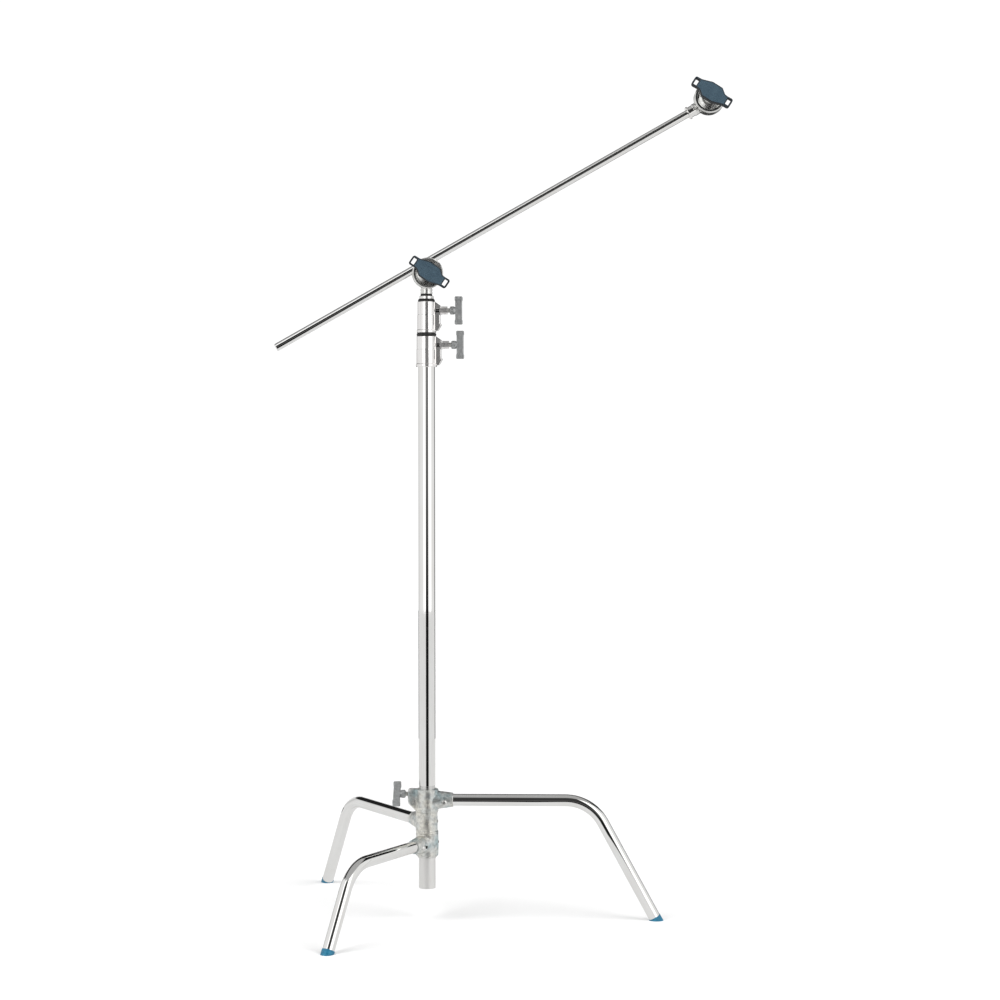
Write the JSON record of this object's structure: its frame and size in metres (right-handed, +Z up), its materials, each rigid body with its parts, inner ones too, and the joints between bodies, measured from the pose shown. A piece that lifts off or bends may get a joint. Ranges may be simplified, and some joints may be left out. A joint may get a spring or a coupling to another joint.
{
  "type": "turtle-base lighting stand with grip head and boom arm",
  "caption": "Folding-leg lighting stand with a telescoping chrome column, a grip head on its stud and a long boom arm that carries a second grip head.",
  "frame": {"origin": "on the floor, under the axis of the column", "axes": "+X along the high leg, +Z up the column, the lock handles of the collars at +X"},
  "size_m": [0.9345, 0.7222, 1.7426],
  "materials": {
    "chrome": "bright chrome plate on steel tube",
    "collar_chrome": "polished chrome plate on cast collars",
    "casting": "zinc-plated casting, satin with blue and yellow tints",
    "spigot_steel": "turned and plated steel",
    "foot_plastic": "moulded teal-blue plastic",
    "fastener_steel": "zinc-plated steel",
    "black_rubber": "black rubber-like plastic",
    "bush_nylon": "dark nylon",
    "pad_brass": "plain brass",
    "handle_zinc": "die-cast, matte grey",
    "head_alloy": "tumbled and polished die-cast alloy",
    "washer_fibre": "friction fibre",
    "knob_blue": "soft-touch moulded plastic, dark slate blue"
  },
  "bodies": {
    "base": {"base_sleeve": "chrome", "retaining_ring": "fastener_steel", "top_casting": "casting", "top_leg_tube": "chrome", "top_foot": "foot_plastic", "top_leg_fasteners": "fastener_steel"},
    "leg_middle": {"middle_casting": "casting", "middle_leg_tube": "chrome", "middle_foot": "foot_plastic", "middle_leg_fasteners": "fastener_steel"},
    "leg_low": {"low_casting": "casting", "low_leg_tube": "chrome", "low_foot": "foot_plastic", "low_leg_fasteners": "fastener_steel"},
    "column": {"column_spigot": "spigot_steel", "column_tube": "chrome", "lower_collar": "collar_chrome", "lower_bumper": "black_rubber"},
    "riser_one": {"riser_one_tube": "chrome", "riser_one_bush": "bush_nylon", "upper_collar": "collar_chrome", "upper_bumper": "black_rubber"},
    "riser_two": {"riser_two_tube": "chrome", "riser_two_bush": "bush_nylon", "stud": "chrome", "stud_ring": "black_rubber"},
    "head": {"stand_receiver": "head_alloy", "stand_friction_washer": "washer_fibre", "stand_centre_bolt": "fastener_steel"},
    "jaws": {"stand_inner_jaw": "head_alloy", "stand_jaw_spring": "fastener_steel"},
    "clamp": {"stand_outer_jaw": "head_alloy", "stand_thrust_washer": "fastener_steel"},
    "knob": {"stand_knob": "knob_blue", "stand_knob_nut": "fastener_steel"},
    "arm": {"arm_rod": "chrome", "arm_tip_cap": "chrome"},
    "arm_head": {"arm_neck_nut": "chrome", "arm_receiver": "head_alloy", "arm_neck_screw": "fastener_steel", "arm_friction_washer": "washer_fibre", "arm_centre_bolt": "fastener_steel"},
    "arm_jaws": {"arm_inner_jaw": "head_alloy", "arm_jaw_spring": "fastener_steel"},
    "arm_clamp": {"arm_outer_jaw": "head_alloy", "arm_thrust_washer": "fastener_steel"},
    "arm_knob": {"arm_knob": "knob_blue", "arm_knob_nut": "fastener_steel"},
    "base_pad": {"base_lock_pad": "pad_brass"},
    "base_lock": {"base_lock_screw": "fastener_steel", "base_lock_handle": "handle_zinc"},
    "lower_pad": {"lower_lock_pad": "pad_brass"},
    "lower_lock": {"lower_lock_screw": "fastener_steel", "lower_lock_handle": "handle_zinc"},
    "upper_pad": {"upper_lock_pad": "pad_brass"},
    "upper_lock": {"upper_lock_screw": "fastener_steel", "upper_lock_handle": "handle_zinc"},
    "head_pad": {"head_lock_pad": "pad_brass"},
    "head_lock": {"head_lock_screw": "fastener_steel", "head_lock_handle": "handle_zinc"}
  },
  "joints": [
    {"name": "leg_middle_fold", "type": "hinge", "parent": "base", "child": "leg_middle", "pos_m": [0, 0, 0.204], "axis": [0, 0, 1], "range_deg": [-123.5, 0]},
    {"name": "leg_low_fold", "type": "hinge", "parent": "base", "child": "leg_low", "pos_m": [0, 0, 0.16], "axis": [0, 0, 1], "range_deg": [0, 119]},
    {"name": "column_lift", "type": "slide", "parent": "base", "child": "column", "axis": [0, 0, 1], "range_m": [0, 0.16]},
    {"name": "riser_one_slide", "type": "slide", "parent": "column", "child": "riser_one", "axis": [0, 0, 1], "range_m": [0, 0.83]},
    {"name": "riser_two_slide", "type": "slide", "parent": "riser_one", "child": "riser_two", "axis": [0, 0, 1], "range_m": [0, 0.83]},
    {"name": "head_swivel", "type": "hinge", "parent": "riser_two", "child": "head", "pos_m": [0, 0, 1.317], "axis": [0, 0, 1], "continuous": true},
    {"name": "arm_tilt", "type": "hinge", "parent": "head", "child": "jaws", "pos_m": [0.00235, -0.01785, 1.344], "axis": [0.1305, -0.9914, 0], "continuous": true},
    {"name": "jaw_open", "type": "slide", "parent": "jaws", "child": "clamp", "axis": [0.1305, -0.9914, 0], "range_m": [0, 0.003]},
    {"name": "knob_turn", "type": "hinge", "parent": "clamp", "child": "knob", "pos_m": [0.01018, -0.07733, 1.344], "axis": [0.1305, -0.9914, 0], "range_deg": [0, 720]},
    {"name": "arm_slide", "type": "slide", "parent": "jaws", "child": "arm", "axis": [0.8612, 0.1134, 0.4955], "range_m": [-0.56, 0.31]},
    {"name": "arm_roll", "type": "hinge", "parent": "arm", "child": "arm_head", "pos_m": [0.58132, 0.04526, 1.69971], "axis": [0.8612, 0.1134, 0.4955], "continuous": true},
    {"name": "arm_jaw_swivel", "type": "hinge", "parent": "arm_head", "child": "arm_jaws", "pos_m": [0.58201, 0.03142, 1.70168], "axis": [0.0494, -0.9889, 0.1404], "continuous": true},
    {"name": "arm_jaw_open", "type": "slide", "parent": "arm_jaws", "child": "arm_clamp", "axis": [0.0494, -0.9889, 0.1404], "range_m": [0, 0.003]},
    {"name": "arm_knob_turn", "type": "hinge", "parent": "arm_clamp", "child": "arm_knob", "pos_m": [0.58497, -0.02791, 1.7101], "axis": [0.0494, -0.9889, 0.1404], "range_deg": [0, 720]},
    {"name": "base_pad_travel", "type": "slide", "parent": "base", "child": "base_pad", "axis": [-1, 0, 0], "range_m": [0, 0.00225]},
    {"name": "base_lock_turn", "type": "hinge", "parent": "base_pad", "child": "base_lock", "pos_m": [-0.04, 0, 0.263], "axis": [-1, 0, 0], "range_deg": [0, 540]},
    {"name": "lower_pad_travel", "type": "slide", "parent": "column", "child": "lower_pad", "axis": [1, 0, 0], "range_m": [0, 0.00225]},
    {"name": "lower_lock_turn", "type": "hinge", "parent": "lower_pad", "child": "lower_lock", "pos_m": [0.0465, 0, 1.1976], "axis": [1, 0, 0], "range_deg": [0, 540]},
    {"name": "upper_pad_travel", "type": "slide", "parent": "riser_one", "child": "upper_pad", "axis": [1, 0, 0], "range_m": [0, 0.00225]},
    {"name": "upper_lock_turn", "type": "hinge", "parent": "upper_pad", "child": "upper_lock", "pos_m": [0.0435, 0, 1.2685], "axis": [1, 0, 0], "range_deg": [0, 540]},
    {"name": "head_pad_travel", "type": "slide", "parent": "head", "child": "head_pad", "axis": [-0.1305, 0.9914, 0], "range_m": [0, 0.00225]},
    {"name": "head_lock_turn", "type": "hinge", "parent": "head_pad", "child": "head_lock", "pos_m": [-0.00313, 0.0238, 1.326], "axis": [-0.1305, 0.9914, 0], "range_deg": [0, 540]}
  ],
  "couplings": [
    {"joint": "jaw_open", "follows": "knob_turn", "m_per_rad": 0.00023873},
    {"joint": "arm_jaw_open", "follows": "arm_knob_turn", "m_per_rad": 0.00023873},
    {"joint": "base_pad_travel", "follows": "base_lock_turn", "m_per_rad": 0.00023873},
    {"joint": "lower_pad_travel", "follows": "lower_lock_turn", "m_per_rad": 0.00023873},
    {"joint": "upper_pad_travel", "follows": "upper_lock_turn", "m_per_rad": 0.00023873},
    {"joint": "head_pad_travel", "follows": "head_lock_turn", "m_per_rad": 0.00023873}
  ]
}
